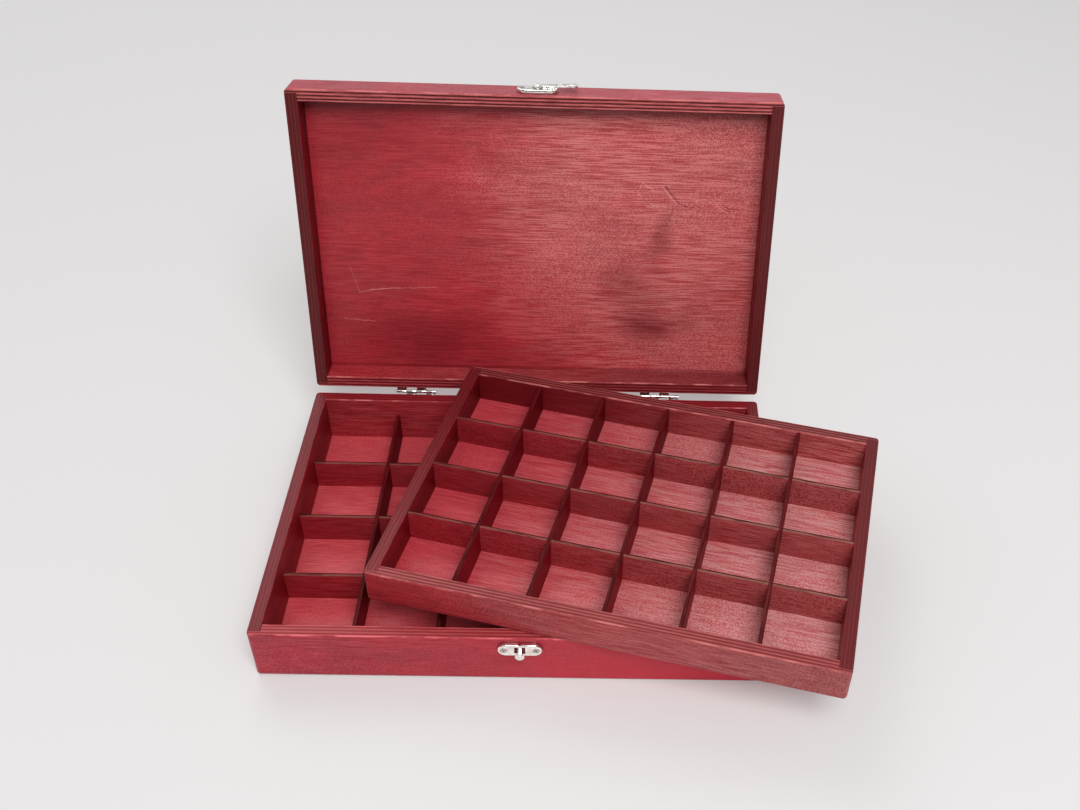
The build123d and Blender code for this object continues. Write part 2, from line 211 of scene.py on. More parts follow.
def make_stained_veneer():
    """A stained birch face, its grain along x: pores or streaks, cloudy stain, and bright worn flecks.

    Lift lays the bright red over the whole face; on the base's front board and on the floors it is painted
    light. Haze lays the pale Bare colour over the grain where the stain is thin and rubbed; on the lid's
    panel and in the mauve haze of the base's and lid's front boards it is also painted sheen. Depth lays the
    dark stain over it where the wood took more stain; on the tray's left board and on the column dividers it
    is painted shade.
    """
    tree, taken, given = shader_group("stained_veneer", wood_takes, finish_gives)
    place = taken["Place"]
    seed = taken["Seed"]
    pores = clouds(tree, place, seed, pore_lumps, detail=1.0)
    streaks = clouds(tree, place, seed, streak_lumps, detail=1.0)
    streak_patches = clouds(tree, place, seed, streak_patch_lumps, detail=1.0)
    clouding = clouds(tree, place, seed, clouding_lumps, distortion=0.5)
    blots = clouds(tree, place, seed, blot_lumps, distortion=0.4)
    flecks = clouds(tree, place, seed, fleck_lumps, detail=1.0)
    fleck_patches = clouds(tree, place, seed, fleck_patch_lumps, detail=1.0)
    streaky = fade(tree, streak_patches, *streaky_fade)
    grain = step(tree, "MULTIPLY_ADD", streaky, step(tree, "SUBTRACT", streaks, pores), pores)

    colour = tint(tree, fade(tree, grain, *stain_fade), stain_deep, stain_red)
    colour = tint(tree, fade(tree, blots, *blot_fade), colour, dark_stain_and_shade)
    colour = tint(tree, fade(tree, clouding, *clouding_fade), colour, dark_stain_and_shade)
    fleck_share = fade(tree, flecks, *fleck_fade)
    fleck_share = step(tree, "MULTIPLY", fleck_share, fade(tree, fleck_patches, *fleck_patch_fade))
    colour = tint(tree, step(tree, "MAXIMUM", fleck_share, taken["Lift"]), colour, bright_stain_and_light)
    haze = step(tree, "MULTIPLY", taken["Haze"], fade(tree, grain, *haze_fade))
    colour = tint(tree, haze, colour, taken["Bare"])
    colour = tint(tree, taken["Depth"], colour, dark_stain_and_shade)
    tree.links.new(colour, given["Colour"])
    tree.links.new(fade(tree, grain, *veneer_roughness), given["Roughness"])
    tree.links.new(grain, given["Height"])
    return tree


# The same for a board's edges and arrises, where its plies show and its stain is rubbed. Along the rim's
# arrises a painted highlight lies over the rubbed stain, and the side boards are darker there.
wander_lumps = (22, 60, 60)
fibre_lumps = (75, 1100, 1100)
ply_end_lumps = (900, 1300, 1300)
worn_ply_lumps = (18, 40, 40)
arris_patch_lumps = (60, 160, 160)
wander_fade = (0.25, 0.75, -0.00015, 0.00015)
long_ply_fade = (0.34, 0.60, 0.45, 0.0)
cross_ply_fade = (0.42, 0.68, 0.0, 0.15)
ply_fade = (-0.30, 0.30)
worn_ply_fade = (0.40, 0.62, 0.0, 0.25)
worn_fibre_fade = (0.45, 0.65)
arris_patch_fade = (0.42, 0.60, 0.0, 0.80)
arris_fade = (0.0004, 0.0012, 1.0, 0.0)
ply_relief = 0.5


def make_plywood_board(veneer):
    """A whole board. Its place is x along the board, y in from the outer face, and z down from the rim."""
    tree, taken, given = shader_group("plywood_board", board_takes, finish_gives)
    place = taken["Place"]
    seed = taken["Seed"]
    face = use_group(
        tree,
        veneer,
        Place=place,
        Seed=seed,
        Lift=taken["Lift"],
        Haze=taken["Haze"],
        Bare=taken["Bare"],
        Depth=taken["Depth"],
    )
    unused, depth, below = apart(tree, place)

    wander = fade(tree, clouds(tree, place, seed, wander_lumps, detail=2.0), *wander_fade)
    plies_in = step(tree, "MULTIPLY", step(tree, "ADD", depth, wander), board_plies / board_thickness)
    wave = step(tree, "SINE", step(tree, "MULTIPLY", plies_in, pi))
    fibres = clouds(tree, place, seed, fibre_lumps)
    ply_ends = clouds(tree, place, seed, ply_end_lumps, detail=2.0)
    worn_share = fade(tree, clouds(tree, place, seed, worn_ply_lumps, detail=2.0), *worn_ply_fade)
    long_ply = tint(tree, fade(tree, fibres, *long_ply_fade), taken["Rim"], taken["Line"])
    cross_ply = tint(tree, fade(tree, ply_ends, *cross_ply_fade), taken["Line"], taken["Rim"])
    plies = tint(tree, fade(tree, wave, *ply_fade), cross_ply, long_ply)
    worn_share = step(tree, "MULTIPLY", worn_share, fade(tree, fibres, *worn_fibre_fade))
    plies = tint(tree, worn_share, plies, taken["Rim"])
    plies = tint(tree, taken["Sunk"], plies, dark_stain_and_shade)

    back = step(tree, "SUBTRACT", board_thickness, depth)
    from_face = step(tree, "MINIMUM", depth, back)
    edge_share = fade(tree, from_face, face_skin * skin_share, face_skin)
    colour = tint(tree, edge_share, face["Colour"], plies)
    patchy = fade(tree, clouds(tree, place, seed, arris_patch_lumps), *arris_patch_fade)
    arris = fade(tree, step(tree, "ADD", from_face, below), *arris_fade)
    # The arris colour: a painted highlight over rubbed stain, darker on the side boards
    colour = tint(tree, step(tree, "MULTIPLY", arris, patchy), colour, taken["Arris_colour"])
    tree.links.new(colour, given["Colour"])
    tree.links.new(face["Roughness"], given["Roughness"])
    ply_height = step(tree, "MULTIPLY", edge_share, ply_relief)
    height = step(tree, "MULTIPLY_ADD", wave, ply_height, face["Height"])
    tree.links.new(height, given["Height"])
    return tree


stained_veneer = make_stained_veneer()
plywood_board = make_plywood_board(stained_veneer)


def turned(tree, place, turn=(0, 0, 0), shift=(0, 0, 0), scale=(1, 1, 1)):
    """A place, scaled, then turned, then shifted."""
    node = tree.nodes.new("ShaderNodeMapping")
    feed(tree, node.inputs["Vector"], place)
    node.inputs["Location"].default_value = shift
    node.inputs["Rotation"].default_value = turn
    node.inputs["Scale"].default_value = scale
    return node.outputs["Vector"]


def new_finish(name, to_body):
    """A material, its shader, and places as the body has them when it is drawn square to the axes."""
    material = bpy.data.materials.new(name)
    material.use_nodes = True
    tree = material.node_tree
    place = tree.nodes.new("ShaderNodeTexCoord").outputs["Object"]
    place = turned(tree, place, turn=tuple(to_body.to_euler()), shift=tuple(to_body.translation))
    return material, tree, place


wood_relief = 0.00010
wood_relief_strength = 0.6
wood_gloss = 0.30
wood_index = 1.35
varnish_roughness = 0.30


def join_finish(tree, colour, made, distance, strength):
    """Joins a colour, and the roughness and relief that a group made, to the material's shader."""
    shader = tree.nodes["Principled BSDF"]
    relief = tree.nodes.new("ShaderNodeBump")
    relief.inputs["Distance"].default_value = distance
    relief.inputs["Strength"].default_value = strength
    tree.links.new(made["Height"], relief.inputs["Height"])
    tree.links.new(colour, shader.inputs["Base Color"])
    tree.links.new(made["Roughness"], shader.inputs["Roughness"])
    tree.links.new(relief.outputs["Normal"], shader.inputs["Normal"])
    return shader


def finish_wood(tree, colour, made, varnish, gloss=wood_gloss):
    """Finishes stained wood, under a thin satin varnish."""
    shader = join_finish(tree, colour, made, wood_relief, wood_relief_strength)
    shader.inputs["IOR"].default_value = wood_index
    shader.inputs["Specular IOR Level"].default_value = gloss
    shader.inputs["Coat Weight"].default_value = varnish
    shader.inputs["Coat Roughness"].default_value = varnish_roughness


def across(tree, place, half_width, left, right):
    """A value that goes from left to right over the body's width."""
    x = apart(tree, place)[0]
    return fade(tree, x, -half_width, half_width, left, right)


def inwards(tree, place, half_depth, front, rear):
    """A value that goes from the front to the rear over the body's depth."""
    y = apart(tree, place)[1]
    return fade(tree, y, -half_depth, half_depth, front, rear)


def merged_copy(node):
    """A mesh editor on a copy of a CAD node, with its triangles joined into whole flat faces."""
    mesh = bmesh.new()
    mesh.from_mesh(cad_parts[node].data)
    bmesh.ops.remove_doubles(mesh, verts=mesh.verts, dist=merge_distance)
    bmesh.ops.dissolve_limit(mesh, angle_limit=flat_edge, verts=mesh.verts, edges=mesh.edges)
    return mesh


def soften(mesh, radius, chosen):
    """Rounds the sharp edges that chosen(edge) keeps."""
    edges = []
    for edge in mesh.edges:
        if len(edge.link_faces) == 2 and edge.calc_face_angle(0) > sharp_edge and chosen(edge):
            edges.append(edge)
    bmesh.ops.bevel(
        mesh,
        geom=edges,
        offset=radius,
        segments=arris_segments,
        profile=0.5,
        affect="EDGES",
        clamp_overlap=False,
    )


def new_piece(mesh, name, body, material, slot, *nodes, smooth=smooth_edge):
    """Turns a mesh editor into a piece that rides on a body, in place of CAD nodes."""
    data = bpy.data.meshes.new(name)
    mesh.to_mesh(data)
    mesh.free()
    data.materials.append(material)
    data.shade_smooth()
    data.set_sharp_from_angle(angle=smooth)
    piece = bpy.data.objects.new(name, data)
    bpy.context.scene.collection.objects.link(piece)
    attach(piece, body)
    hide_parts(*nodes)


def rim_arris(to_body, half_width, half_depth, rim):
    """Chooses the rim's outer and inner arrises, and leaves the joints between the boards sharp."""
    inner_width = half_width - board_thickness
    inner_depth = half_depth - board_thickness

    def chosen(edge):
        ends = [to_body @ vert.co for vert in edge.verts]
        if any(abs(end.z - rim) > same_place for end in ends):
            return False
        x = (abs(ends[0].x) + abs(ends[1].x)) / 2 if abs(ends[0].x - ends[1].x) < half_width else 0
        y = (abs(ends[0].y) + abs(ends[1].y)) / 2 if abs(ends[0].y - ends[1].y) < half_depth else 0
        on_outer = abs(x - half_width) < same_place or abs(y - half_depth) < same_place
        on_inner_side = abs(x - inner_width) < same_place and y < inner_depth
        on_inner_front = abs(y - inner_depth) < same_place and x < inner_width
        from_corner = hypot(x - half_width + corner_radius, y - half_depth + corner_radius)
        round_corner = x > half_width - corner_radius and y > half_depth - corner_radius
        on_corner = round_corner and from_corner > corner_radius - 2 * same_place
        return on_outer or on_inner_side or on_inner_front or on_corner

    return chosen


board_varnish = 0.05
latch_middle_x = 0.0007
plate_half_length = 0.01445
plate_half_height = 0.00525
plate_below_rim = 0.0087
# How dark the painted shade round a latch plate is, and how far past the plate it reaches
plate_shade = 0.8
plate_shade_reach = 0.0011
side_turns = {"front": 0, "left": pi / 2, "rear": pi, "right": -pi / 2}
share_pairs = ("Lift", "Haze", "Depth", "Sunk")


def tone(rim, line, lift=(0, 0), haze=(0, 0), depth=(0, 0), sunk=(0, 0), bare=pale_haze_and_sheen, worn=worn_pink_highlight):
    """One board's stain. Its pairs are shares at its left and right ends, or at its front and rear ends."""
    colours = {"Rim": rim, "Line": line, "Bare": bare, "Arris_colour": worn}
    return dict(colours, Lift=lift, Haze=haze, Depth=depth, Sunk=sunk)


def plate_shade_share(tree, place):
    """The painted shade on the front board round its latch plate, and behind the plate's window."""
    x, unused, below = apart(tree, place)
    x = step(tree, "ABSOLUTE", step(tree, "SUBTRACT", x, latch_middle_x))
    x = step(tree, "MAXIMUM", step(tree, "SUBTRACT", x, plate_half_length - plate_half_height), 0.0)
    z = step(tree, "SUBTRACT", below, plate_below_rim)
    off = diagonal(tree, x, z)
    return fade(tree, off, plate_half_height, plate_half_height + plate_shade_reach, plate_shade, 0.0)


def dress_boards(body, kind, to_body, half_width, half_depth, rim, rim_up, first_seed, tones, has_plate):
    """Makes the four boards of a body, each with its own stain. Kind is what their nodes are called."""
    for number, (side, turn) in enumerate(side_turns.items()):
        node = f"{body}_{side}_{kind}"
        runs_across = side in ("front", "rear")
        outer = half_depth if runs_across else half_width
        material, tree, place = new_finish(f"{body}_{side}_board", to_body)
        shares = dict(tones[side])
        for name in share_pairs:
            if runs_across:
                shares[name] = across(tree, place, half_width, *shares[name])
            else:
                shares[name] = inwards(tree, place, half_depth, *shares[name])
        shift = (0, outer, rim if rim_up else -rim)
        scale = (1, 1, -1 if rim_up else 1)
        place = turned(tree, place, turn=(0, 0, turn), shift=shift, scale=scale)
        made = use_group(tree, plywood_board, Place=place, Seed=first_seed + number, **shares)
        colour = made["Colour"]
        if has_plate and side == "front":
            # Painted shade round the latch plate and behind its window
            colour = tint(tree, plate_shade_share(tree, place), colour, dark_stain_and_shade)
        finish_wood(tree, colour, made, board_varnish)
        mesh = merged_copy(node)
        soften(mesh, arris_radius, rim_arris(to_body, half_width, half_depth, rim))
        new_piece(mesh, f"{body}_{side}_board", body, material, "stained_boards", node)


at_rest = Matrix.Identity(4)
base_tones = {
    # The front board's lift, which grows towards its right end, is painted light, and its mauve haze at its
    # left end is a painted sheen
    "front": tone(
        rim=(0.43, 0.076, 0.084, 1),
        line=(0.25, 0.018, 0.022, 1),
        lift=(0.0, 0.55),
        haze=(0.11, 0.0),
        bare=mauve_haze_and_sheen,
        worn=worn_red_highlight,
    ),
    "rear": tone(
        rim=(0.28, 0.018, 0.025, 1),
        line=(0.16, 0.006, 0.009, 1),
        haze=(0.10, 0.10),
        depth=(0.20, 0.20),
    ),
    "left": tone(
        rim=(0.21, 0.024, 0.029, 1),
        line=(0.13, 0.016, 0.020, 1),
        haze=(0.05, 0.05),
        depth=(0.15, 0.15),
        worn=dark_arris,
    ),
    "right": tone(
        rim=(0.21, 0.024, 0.029, 1),
        line=(0.13, 0.016, 0.020, 1),
        depth=(0.2, 0.2),
        worn=dark_arris,
    ),
}
dress_boards(
    "base",
    "wall",
    at_rest,
    box_half_width,
    box_half_depth,
    base_rim,
    rim_up=True,
    first_seed=1.3,
    tones=base_tones,
    has_plate=True,
)

# The base's floor
# A 4 mm birch-ply panel, stained like the boards and glued into a rebate round their underside. Only its
# upper face shows, between the dividers.
panel_varnish = 0.25


def dress(node, material):
    """Gives a CAD node its finish."""
    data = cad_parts[node].data
    data.materials.clear()
    data.materials.append(material)


def panel_finish(name, to_body, half_width, seed, lift, haze, bare=pale_haze_and_sheen):
    """The finish of a plain panel, its grain along the box. Haze is a pair of shares: left and right."""
    material, tree, place = new_finish(name, to_body)
    haze_share = across(tree, place, half_width, *haze)
    made = use_group(tree, stained_veneer, Place=place, Seed=seed, Lift=lift, Haze=haze_share, Bare=bare)
    finish_wood(tree, made["Colour"], made, panel_varnish)
    return material


# Its lift is painted light: it makes the floor brighter, as if more light fell on it from above
base_floor_finish = panel_finish(
    "base_floor", at_rest, box_half_width, seed=31.0, lift=0.45, haze=(0.16, 0.12)
)
dress("base_floor", base_floor_finish)

# The base's dividers
# Strips of 2.7 mm birch ply, cut by laser and slotted half-way into each other, so that they stand in the
# base with no glue. Their faces are stained red, and their cut edges are charred brown.
divider_thickness = 0.0027
divider_arris = 0.00025
base_divider_top = 0.028
cell_columns = 6
cell_rows = 4
base_column_pitch = 2 * (box_half_width - board_thickness) / cell_columns
base_row_pitch = 2 * (box_half_depth - board_thickness) / cell_rows
divider_varnish = 0.0
divider_gloss = 0.08
char_depth = 0.0003
char_lumps = (60, 700, 700)
char_fade = (0.40, 0.62)
pale_front_shares = (0.02, 0.16)    # where the pale front half of an edge, rubbed char with a painted highlight, ends, behind its middle, by the thickness
pale_front_fade = (0.36, 0.54, 0.35, 1.0)
sanded_fade = (0.0, 0.3)
char_dark = (0.045, 0.004, 0.005, 1)
char_brown = (0.10, 0.012, 0.012, 1)
sanded_pink = (0.20, 0.038, 0.038, 1)
sanded_tan = (0.28, 0.120, 0.088, 1)


def divider_finish(name, to_body, turn, pitch, top, half_width, seed, haze, depth, sanded, sunk):
    """The finish of dividers that run along x once their place is turned, and lie a pitch apart.

    The last four are pairs of shares. Haze and sanded go from the body's left to its right. Depth and sunk go
    from front to rear, over a square as deep as the body is wide. On the column dividers, depth and sunk are
    painted shade.
    """
    material, tree, place = new_finish(name, to_body)
    sanded_share = across(tree, place, half_width, *sanded)
    haze_share = across(tree, place, half_width, *haze)
    depth_share = inwards(tree, place, half_width, *depth)
    sunk_share = inwards(tree, place, half_width, *sunk)
    place = turned(tree, place, turn=(0, 0, turn))
    face = use_group(
        tree, stained_veneer, Place=place, Seed=seed, Haze=haze_share, Bare=pale_haze_and_sheen, Depth=depth_share
    )
    unused, aside, height = apart(tree, place)
    from_middle = step(tree, "WRAP", aside, pitch / 2, -pitch / 2)
    mottled = clouds(tree, place, seed, char_lumps)
    char = tint(tree, fade(tree, mottled, *char_fade), char_dark, char_brown)
    # The pale front half of each top edge is rubbed char with a painted highlight, more of it towards the
    # body's right
    pale_front_ends = [divider_thickness * share for share in pale_front_shares]
    rubbed = fade(tree, from_middle, *pale_front_ends, 1.0, 0.0)
    rubbed = step(tree, "MULTIPLY", rubbed, fade(tree, mottled, *pale_front_fade))
    pale = tint(tree, sanded_share, sanded_pink, sanded_tan)
    char = tint(tree, step(tree, "MULTIPLY", rubbed, fade(tree, sanded_share, *sanded_fade)), char, pale)
    char = tint(tree, sunk_share, char, dark_stain_and_shade)
    charred = fade(tree, height, top - char_depth, top - char_depth / 2)
    colour = tint(tree, charred, face["Colour"], char)
    finish_wood(tree, colour, face, divider_varnish, divider_gloss)
    return material


def top_arris(to_body, top):
    """Chooses the long arrises of a divider's top edge."""

    def chosen(edge):
        ends = [to_body @ vert.co for vert in edge.verts]
        long = edge.calc_length() > 2 * divider_thickness
        return long and all(abs(end.z - top) < same_place for end in ends)

    return chosen


def dress_dividers(body, to_body, column_pitch, row_pitch, top, half_width, seed):
    """Makes a body's dividers, with their top edges a little rounded."""
    layout = (
        # kind, cells between the walls, turn, pitch, and pairs of shares: haze, depth, sanded and sunk
        # On the column dividers, depth and sunk are painted shade, deepest at the rear
        ("column", cell_columns, pi / 2, column_pitch, (0.0, 0.05), (0.45, 1.0), (0.0, 0.12), (0.0, 0.7)),
        ("row", cell_rows, 0, row_pitch, (0.06, 0.36), (0.28, 0.34), (0.25, 0.9), (0.0, 0.0)),
    )
    for kind, cells, turn, pitch, *shares in layout:
        finish = f"{body}_{kind}_dividers"
        material = divider_finish(finish, to_body, turn, pitch, top, half_width, seed, *shares)
        for number in range(1, cells):
            node = f"{body}_{kind}_divider_{number}"
            mesh = merged_copy(node)
            soften(mesh, divider_arris, top_arris(to_body, top))
            name = f"{body}_{kind}_strip_{number}"
            new_piece(mesh, name, body, material, "stained_dividers", node)


dress_dividers(
    "base", at_rest, base_column_pitch, base_row_pitch, base_divider_top, box_half_width, seed=41.0
)

# The lid's frame
# Four more boards of the same plywood, jointed as the base's are, that swing on the hinges with the panel.
# The side boards took the stain darker than the front one, which is the upper one while the lid is open.
seam_gap = 0.0003
pin_behind = 0.0031
pin_y = box_half_depth + pin_behind
pin_z = base_rim + seam_gap / 2
lid_open = radians(100.7)
lid_rim = base_rim + seam_gap
pin = Vector((0, pin_y, pin_z))
to_closed = Matrix.Translation(pin) @ Matrix.Rotation(lid_open, 4, "X") @ Matrix.Translation(-pin)
lid_tones = {
    # The front board's mauve haze is a painted sheen
    "front": tone(
        rim=(0.52, 0.115, 0.115, 1),
        line=(0.06, 0.002, 0.003, 1),
        haze=(0.19, 0.26),
        bare=mauve_haze_and_sheen,
    ),
    "rear": tone(
        rim=(0.42, 0.058, 0.066, 1),
        line=(0.09, 0.003, 0.005, 1),
        haze=(0.10, 0.35),
        depth=(0.05, 0.72),
        sunk=(0.0, 0.35),
    ),
    "left": tone(
        rim=(0.125, 0.014, 0.016, 1),
        line=(0.080, 0.007, 0.008, 1),
        depth=(0.62, 0.62),
        worn=dark_arris,
    ),
    "right": tone(
        rim=(0.130, 0.015, 0.017, 1),
        line=(0.090, 0.010, 0.011, 1),
        depth=(0.62, 0.62),
        worn=dark_arris,
    ),
}
dress_boards(
    "lid",
    "rail",
    to_closed,
    box_half_width,
    box_half_depth,
    lid_rim,
    rim_up=False,
    first_seed=11.3,
    tones=lid_tones,
    has_plate=True,
)

# The lid's panel
# One sheet of 6.5 mm birch ply, let into a rebate round the frame. Its stain is deep and clear at the left,
# and in the middle and at the right a pale haze lies over it, partly thin and rubbed stain and partly painted
# sheen, with dark blotches, pale scratches and dark creases. A painted shadow runs along the inside of the
# frame.
panel_blotches = [
    # x, y, half width, half depth, and share of the dark stain, seen with the lid closed
    (0.080, 0.066, 0.025, 0.024, 0.68),
    (0.066, 0.034, 0.030, 0.030, 0.34),
    (0.110, 0.062, 0.016, 0.020, 0.25),
    (0.092, -0.003, 0.010, 0.034, 0.46),
    (0.058, -0.016, 0.030, 0.018, 0.15),
    (-0.080, 0.085, 0.060, 0.034, 0.56),
    (-0.135, 0.075, 0.045, 0.035, 0.30),
    (-0.140, -0.070, 0.050, 0.060, 0.25),
]
panel_scratches = [
    # from x, y to x, y, and the share of the bare wood
    (-0.1446, 0.0239, -0.1387, 0.0450, 0.20),
    (-0.1387, 0.0450, -0.1290, 0.0425, 0.50),
    (-0.1290, 0.0425, -0.1075, 0.0407, 0.65),
    (-0.1075, 0.0407, -0.0788, 0.0395, 0.35),
    (-0.1522, 0.0679, -0.1289, 0.0699, 0.35),
    (-0.0060, -0.0729, 0.0458, -0.0669, 0.25),
    (0.0745, -0.0430, 0.0776, -0.0505, 0.85),
    (0.0776, -0.0505, 0.0856, -0.0445, 0.80),
    (0.0745, -0.0415, 0.0836, -0.0335, 0.80),
    (0.0836, -0.0335, 0.0960, -0.0315, 0.60),
    (0.0926, -0.0475, 0.1036, -0.0335, 0.85),
    (0.1320, -0.0365, 0.1380, -0.0300, 0.90),
    (0.1380, -0.0300, 0.1480, -0.0245, 0.95),
]
panel_creases = [
    # from x, y to x, y, and the share of the dark stain
    (0.0948, -0.0475, 0.1061, -0.0340, 0.75),
    (0.1061, -0.0340, 0.1116, -0.0325, 0.55),
    (0.0776, -0.0385, 0.0846, -0.0322, 0.60),
    (0.1400, -0.0325, 0.1500, -0.0305, 0.70),
    (0.1010, -0.0285, 0.0960, -0.0165, 0.35),
]
scratch_width = 0.0006
full_share = 0.3                # the share of a scratch's or a painted shadow's reach over which it is full
panel_inside = (0.0640, 0.0660)  # between the panel's two faces, with the lid closed
panel_lift = 0.10
bare_birch = (0.72, 0.27, 0.26, 1)
frame_inside = box_half_depth - board_thickness
frame_shadow = [
    # y of the frame's inner face, how far the painted shadow along it reaches, and its share
    (-frame_inside, 0.014, 0.74),
    (frame_inside, 0.004, 0.45),
]
# Where the pale haze, partly thin stain and partly painted sheen, grows: from the left, towards the front,
# and away from the rear left corner
thin_from_left = (-0.110, 0.030)
thin_to_front = (0.070, -0.070, 0.80, 1.0)
thin_from_corner = (-0.16, 0.02)
thin_haze = 0.35
least_haze = 0.05
# What bends the borders of the pale haze, the blotches' outlines and the scratches
drift_lumps = (16, 24, 24)
drift_ends = (0.25, 0.75)
border_drift = 0.035
blotch_drift = 0.010
blotch_ends = (0.0, 1.15)
wobble_lumps = (300, 300, 300)
wobble_fade = (0.2, 0.8, -0.0006, 0.0006)
scratch_grain_fade = (0.35, 0.60, 0.4, 1.0)


def oval(tree, x, y, middle_x, middle_y, half_width, half_depth):
    """How far a place is from an oval's middle: 1 on its outline."""
    from_x = step(tree, "DIVIDE", step(tree, "SUBTRACT", x, middle_x), half_width)
    from_y = step(tree, "DIVIDE", step(tree, "SUBTRACT", y, middle_y), half_depth)
    return diagonal(tree, from_x, from_y)


def line_share(tree, x, y, start_x, start_y, end_x, end_y, share):
    """How much a straight scratch or crease shows at a place."""
    length = hypot(end_x - start_x, end_y - start_y)
    way_x = (end_x - start_x) / length
    way_y = (end_y - start_y) / length
    from_x = step(tree, "SUBTRACT", x, start_x)
    from_y = step(tree, "SUBTRACT", y, start_y)
    reach = step(tree, "MULTIPLY_ADD", from_x, way_x, step(tree, "MULTIPLY", from_y, way_y))
    aside = step(tree, "MULTIPLY_ADD", from_x, -way_y, step(tree, "MULTIPLY", from_y, way_x))
    from_middle = step(tree, "ABSOLUTE", step(tree, "SUBTRACT", reach, length / 2))
    past = step(tree, "SUBTRACT", from_middle, length / 2)
    off = step(tree, "MAXIMUM", step(tree, "ABSOLUTE", aside), past)
    return fade(tree, off, scratch_width * full_share, scratch_width, share, 0.0)


def lid_panel_finish():
    """The panel's uneven stain with its painted sheen, and the painted shadow along the frame, laid over the
    plain veneer.
    """
    material, tree, place = new_finish("lid_panel", to_closed)
    seed = 32.0
    x, y, z = apart(tree, place)
    inside = fade(tree, z, *panel_inside, 1.0, 0.0)
    drift = clouds(tree, place, seed, drift_lumps, distortion=0.6)
    border_shift = fade(tree, drift, *drift_ends, -border_drift, border_drift)
    blotch_shift = fade(tree, drift, *drift_ends, -blotch_drift, blotch_drift)
    near_x = step(tree, "ADD", x, blotch_shift)
    near_y = step(tree, "ADD", y, blotch_shift)
    border_x = step(tree, "ADD", x, border_shift)
    border_y = step(tree, "ADD", y, border_shift)
    haze = step(
        tree, "MULTIPLY", fade(tree, border_x, *thin_from_left), fade(tree, border_y, *thin_to_front)
    )
    from_corner = step(tree, "SUBTRACT", border_x, border_y)
    haze = step(tree, "MULTIPLY", haze, fade(tree, from_corner, *thin_from_corner))
    haze = step(tree, "MULTIPLY_ADD", haze, thin_haze, least_haze)
    made = use_group(
        tree, stained_veneer, Place=place, Seed=seed, Lift=panel_lift, Haze=haze, Bare=pale_haze_and_sheen
    )
    colour = made["Colour"]
    # Painted shadow along the inside of the frame's rails
    for depth, reach, share in frame_shadow:
        near = step(tree, "ABSOLUTE", step(tree, "SUBTRACT", y, depth))
        share = step(tree, "MULTIPLY", inside, fade(tree, near, reach * full_share, reach, share, 0.0))
        colour = tint(tree, share, colour, dark_stain_and_shade)
    for blotch_x, blotch_y, half_width, half_depth, share in panel_blotches:
        reach = oval(tree, near_x, near_y, blotch_x, blotch_y, half_width, half_depth)
        share = step(tree, "MULTIPLY", inside, fade(tree, reach, *blotch_ends, share, 0.0))
        colour = tint(tree, share, colour, dark_stain_and_shade)
    wobble = fade(tree, clouds(tree, place, seed, wobble_lumps, detail=2.0), *wobble_fade)
    wobbly_y = step(tree, "ADD", y, wobble)
    for scratch in panel_scratches:
        share = step(tree, "MULTIPLY", inside, line_share(tree, x, wobbly_y, *scratch))
        share = step(tree, "MULTIPLY", share, fade(tree, made["Height"], *scratch_grain_fade))
        colour = tint(tree, share, colour, bare_birch)
    for crease in panel_creases:
        share = step(tree, "MULTIPLY", inside, line_share(tree, x, wobbly_y, *crease))
        colour = tint(tree, share, colour, dark_stain_and_shade)
    finish_wood(tree, colour, made, panel_varnish)
    return material


dress("lid_panel", lid_panel_finish())

# The tray's four boards
# The same plywood again, jointed in the same way. The tray is loose and lies askew across the base's rims,
# and its right end is paler.
tray_cell_pitch = 0.050
tray_half_width = cell_columns * tray_cell_pitch / 2 + board_thickness
tray_half_depth = cell_rows * tray_cell_pitch / 2 + board_thickness
tray_rim = 0.0276
tray_gap = 0.00005
tray_turn = radians(13.47)
tray_middle = Vector((0.0776, -0.020158, base_rim + tray_gap))
to_tray = Matrix.Rotation(tray_turn, 4, "Z") @ Matrix.Translation(-tray_middle)
tray_tones = {
    "front": tone(
        rim=(0.39, 0.082, 0.084, 1),
        line=(0.16, 0.016, 0.018, 1),
        haze=(0.08, 0.44),
        depth=(0.22, 0.46),
    ),
    "rear": tone(
        rim=(0.34, 0.070, 0.070, 1),
        line=(0.07, 0.005, 0.006, 1),
        haze=(0.05, 0.40),
        depth=(0.85, 0.10),
        sunk=(0.35, 0.0),
    ),
    # The left board's depth and sunk shares are painted shade, deepening towards its rear end
    "left": tone(
        rim=(0.24, 0.034, 0.038, 1),
        line=(0.14, 0.014, 0.017, 1),
        depth=(0.45, 0.60),
        sunk=(0.0, 0.70),
        worn=dark_arris,
    ),
    "right": tone(
        rim=(0.15, 0.016, 0.019, 1),
        line=(0.10, 0.008, 0.010, 1),
        haze=(0.05, 0.05),
        depth=(0.35, 0.35),
        worn=dark_arris,
    ),
}
dress_boards(
    "tray",
    "wall",
    to_tray,
    tray_half_width,
    tray_half_depth,
    tray_rim,
    rim_up=True,
    first_seed=21.3,
    tones=tray_tones,
    has_plate=False,
)

# The tray's floor
# A 3 mm birch-ply panel in a rebate, as in the base. It is deep red at the left and paler at the right, and
# its lift is painted light that makes it brighter all over.
tray_floor_haze = (0.62, 0.30, 0.29, 1)
tray_floor_finish = panel_finish(
    "tray_floor", to_tray, tray_half_width, seed=33.0, lift=0.34, haze=(0.08, 0.66), bare=tray_floor_haze
)
dress("tray_floor", tray_floor_finish)

# The tray's dividers
# The same laser-cut strips as the base's, slotted into each other at the tray's own pitch. They stand on its
# floor, and come up nearly flush with its rims.
tray_divider_top = 0.027
dress_dividers(
    "tray", to_tray, tray_cell_pitch, tray_cell_pitch, tray_divider_top, tray_half_width, seed=42.0
)

